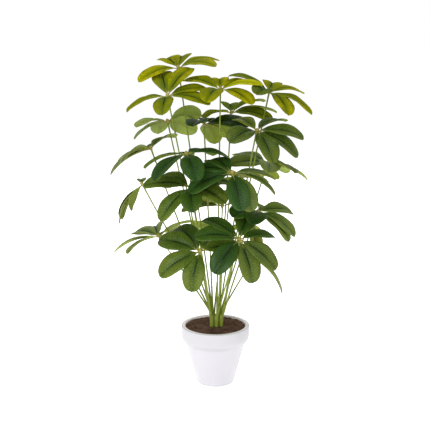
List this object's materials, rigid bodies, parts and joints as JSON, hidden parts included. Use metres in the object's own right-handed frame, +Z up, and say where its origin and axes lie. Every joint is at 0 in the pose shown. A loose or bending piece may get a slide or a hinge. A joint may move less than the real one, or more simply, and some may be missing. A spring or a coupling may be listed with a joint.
{
  "type": "potted umbrella plant",
  "caption": "Tall umbrella plant with whorls of blunt arched leaflets on long thin stems, rooted in soil in a plain white tapered pot with a rim band.",
  "frame": {"origin": "middle of the flat underside of the pot", "axes": "+Z up through the plant, -Y towards the side that the picture shows, +X to that view's right"},
  "size_m": [0.5285, 0.493, 0.8832],
  "materials": {
    "pot": "smooth satin white",
    "soil": "loose dark brown soil",
    "stalk": "smooth satin light green",
    "leaf": "satin green leaf with pale veins"
  },
  "bodies": {
    "root": {"pot": "pot", "soil": "soil", "stalk_1": "stalk", "stalk_2": "stalk", "stalk_3": "stalk", "stalk_4": "stalk", "stalk_5": "stalk", "leaf_01": "leaf", "leaf_02": "leaf", "leaf_03": "leaf", "leaf_04": "leaf", "leaf_05": "leaf", "leaf_06": "leaf", "leaf_07": "leaf", "leaf_08": "leaf", "leaf_09": "leaf", "leaf_10": "leaf", "leaf_11": "leaf", "leaf_12": "leaf", "leaf_13": "leaf", "leaf_14": "leaf", "leaf_15": "leaf", "leaf_16": "leaf", "leaf_17": "leaf", "leaf_18": "leaf", "leaf_19": "leaf", "leaf_20": "leaf", "leaf_21": "leaf", "leaf_22": "leaf"}
  },
  "joints": []
}
